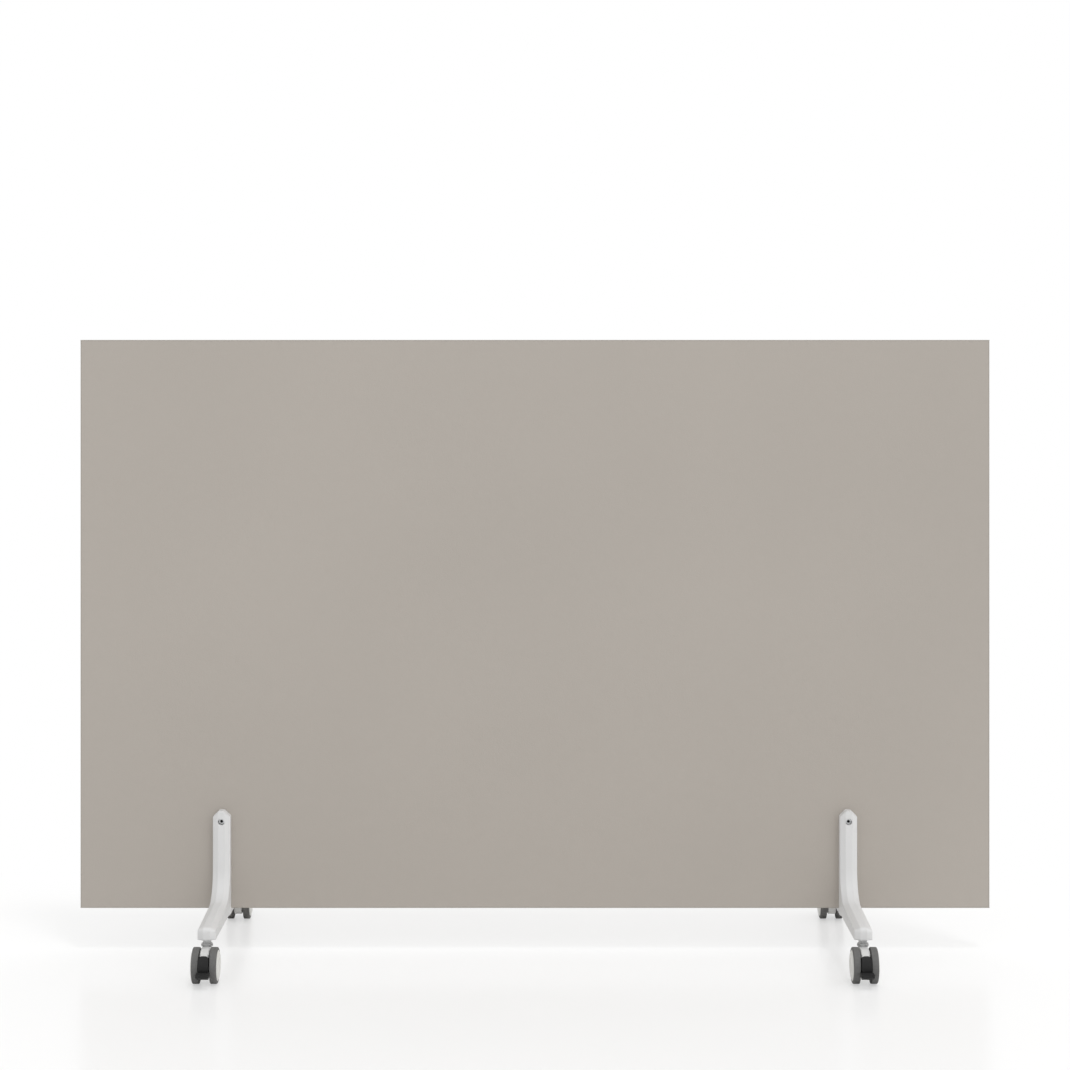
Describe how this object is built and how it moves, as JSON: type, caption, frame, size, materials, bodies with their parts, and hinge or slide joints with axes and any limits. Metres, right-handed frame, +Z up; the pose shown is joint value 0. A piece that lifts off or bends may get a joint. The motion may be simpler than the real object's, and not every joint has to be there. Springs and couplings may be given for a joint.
{
  "type": "room divider",
  "caption": "Low mobile room divider: a faced flat board clamped upright between cast feet that stand on braked twin-wheel swivel casters.",
  "frame": {"origin": "on the floor, under the middle of the board", "axes": "+X along the board, +Y to the rear, +Z up"},
  "size_m": [1.6, 0.585, 1.075],
  "materials": {
    "board_core": "particle board, bare",
    "board_face": "greige laminate, fine matt texture",
    "edge_band": "greige edge banding, matt",
    "leg_coat": "die-cast, pale grey-white powder coat, fine texture, satin",
    "screw_steel": "zinc-plated",
    "stem_steel": "zinc-plated, dull",
    "axle_steel": "bright",
    "tyre": "grey soft tread, matt",
    "wheel_hub": "moulded nylon",
    "hub_cover": "moulded, satin",
    "caster_body": "moulded, satin",
    "brake_lever": "moulded black, fine texture",
    "toe_pad": "moulded black, ribbed, matt"
  },
  "bodies": {
    "root": {"panel_core": "board_core", "front_laminate": "board_face", "rear_laminate": "board_face", "long_edge_bands": "edge_band", "short_edge_bands": "edge_band", "front_left_leg": "leg_coat", "front_right_leg": "leg_coat", "rear_left_leg": "leg_coat", "rear_right_leg": "leg_coat", "clamp_screws": "screw_steel", "sleeve_nuts": "screw_steel", "lap_screws": "screw_steel", "front_left_stem": "stem_steel", "front_right_stem": "stem_steel", "rear_left_stem": "stem_steel", "rear_right_stem": "stem_steel"},
    "front_left_caster": {"front_left_yoke": "caster_body", "front_left_axle": "axle_steel", "front_left_lever_pin": "axle_steel"},
    "front_left_outer_wheel": {"front_left_outer_tyre": "tyre", "front_left_outer_hub": "wheel_hub", "front_left_outer_hub_cover": "hub_cover"},
    "front_left_inner_wheel": {"front_left_inner_tyre": "tyre", "front_left_inner_hub": "wheel_hub", "front_left_inner_hub_cover": "hub_cover"},
    "front_left_brake": {"front_left_brake_lever": "brake_lever", "front_left_toe_pad": "toe_pad"},
    "front_right_caster": {"front_right_yoke": "caster_body", "front_right_axle": "axle_steel", "front_right_lever_pin": "axle_steel"},
    "front_right_outer_wheel": {"front_right_outer_tyre": "tyre", "front_right_outer_hub": "wheel_hub", "front_right_outer_hub_cover": "hub_cover"},
    "front_right_inner_wheel": {"front_right_inner_tyre": "tyre", "front_right_inner_hub": "wheel_hub", "front_right_inner_hub_cover": "hub_cover"},
    "front_right_brake": {"front_right_brake_lever": "brake_lever", "front_right_toe_pad": "toe_pad"},
    "rear_left_caster": {"rear_left_yoke": "caster_body", "rear_left_axle": "axle_steel", "rear_left_lever_pin": "axle_steel"},
    "rear_left_outer_wheel": {"rear_left_outer_tyre": "tyre", "rear_left_outer_hub": "wheel_hub", "rear_left_outer_hub_cover": "hub_cover"},
    "rear_left_inner_wheel": {"rear_left_inner_tyre": "tyre", "rear_left_inner_hub": "wheel_hub", "rear_left_inner_hub_cover": "hub_cover"},
    "rear_left_brake": {"rear_left_brake_lever": "brake_lever", "rear_left_toe_pad": "toe_pad"},
    "rear_right_caster": {"rear_right_yoke": "caster_body", "rear_right_axle": "axle_steel", "rear_right_lever_pin": "axle_steel"},
    "rear_right_outer_wheel": {"rear_right_outer_tyre": "tyre", "rear_right_outer_hub": "wheel_hub", "rear_right_outer_hub_cover": "hub_cover"},
    "rear_right_inner_wheel": {"rear_right_inner_tyre": "tyre", "rear_right_inner_hub": "wheel_hub", "rear_right_inner_hub_cover": "hub_cover"},
    "rear_right_brake": {"rear_right_brake_lever": "brake_lever", "rear_right_toe_pad": "toe_pad"}
  },
  "joints": [
    {"name": "front_left_swivel", "type": "hinge", "parent": "root", "child": "front_left_caster", "pos_m": [-0.55, -0.2205, 0.05], "axis": [0, 0, 1], "continuous": true},
    {"name": "front_left_outer_wheel_spin", "type": "hinge", "parent": "front_left_caster", "child": "front_left_outer_wheel", "pos_m": [-0.55, -0.2425, 0.03], "axis": [1, 0, 0], "continuous": true},
    {"name": "front_left_inner_wheel_spin", "type": "hinge", "parent": "front_left_caster", "child": "front_left_inner_wheel", "pos_m": [-0.55, -0.2425, 0.03], "axis": [1, 0, 0], "continuous": true},
    {"name": "front_left_brake_tip", "type": "hinge", "parent": "front_left_caster", "child": "front_left_brake", "pos_m": [-0.55, -0.2585, 0.041], "axis": [1, 0, 0], "range_deg": [0, 10]},
    {"name": "front_right_swivel", "type": "hinge", "parent": "root", "child": "front_right_caster", "pos_m": [0.55, -0.2205, 0.05], "axis": [0, 0, 1], "continuous": true},
    {"name": "front_right_outer_wheel_spin", "type": "hinge", "parent": "front_right_caster", "child": "front_right_outer_wheel", "pos_m": [0.55, -0.2425, 0.03], "axis": [1, 0, 0], "continuous": true},
    {"name": "front_right_inner_wheel_spin", "type": "hinge", "parent": "front_right_caster", "child": "front_right_inner_wheel", "pos_m": [0.55, -0.2425, 0.03], "axis": [1, 0, 0], "continuous": true},
    {"name": "front_right_brake_tip", "type": "hinge", "parent": "front_right_caster", "child": "front_right_brake", "pos_m": [0.55, -0.2585, 0.041], "axis": [1, 0, 0], "range_deg": [0, 10]},
    {"name": "rear_left_swivel", "type": "hinge", "parent": "root", "child": "rear_left_caster", "pos_m": [-0.55, 0.2205, 0.05], "axis": [0, 0, 1], "continuous": true},
    {"name": "rear_left_outer_wheel_spin", "type": "hinge", "parent": "rear_left_caster", "child": "rear_left_outer_wheel", "pos_m": [-0.55, 0.2425, 0.03], "axis": [1, 0, 0], "continuous": true},
    {"name": "rear_left_inner_wheel_spin", "type": "hinge", "parent": "rear_left_caster", "child": "rear_left_inner_wheel", "pos_m": [-0.55, 0.2425, 0.03], "axis": [1, 0, 0], "continuous": true},
    {"name": "rear_left_brake_tip", "type": "hinge", "parent": "rear_left_caster", "child": "rear_left_brake", "pos_m": [-0.55, 0.2585, 0.041], "axis": [-1, 0, 0], "range_deg": [0, 10]},
    {"name": "rear_right_swivel", "type": "hinge", "parent": "root", "child": "rear_right_caster", "pos_m": [0.55, 0.2205, 0.05], "axis": [0, 0, 1], "continuous": true},
    {"name": "rear_right_outer_wheel_spin", "type": "hinge", "parent": "rear_right_caster", "child": "rear_right_outer_wheel", "pos_m": [0.55, 0.2425, 0.03], "axis": [1, 0, 0], "continuous": true},
    {"name": "rear_right_inner_wheel_spin", "type": "hinge", "parent": "rear_right_caster", "child": "rear_right_inner_wheel", "pos_m": [0.55, 0.2425, 0.03], "axis": [1, 0, 0], "continuous": true},
    {"name": "rear_right_brake_tip", "type": "hinge", "parent": "rear_right_caster", "child": "rear_right_brake", "pos_m": [0.55, 0.2585, 0.041], "axis": [-1, 0, 0], "range_deg": [0, 10]}
  ]
}
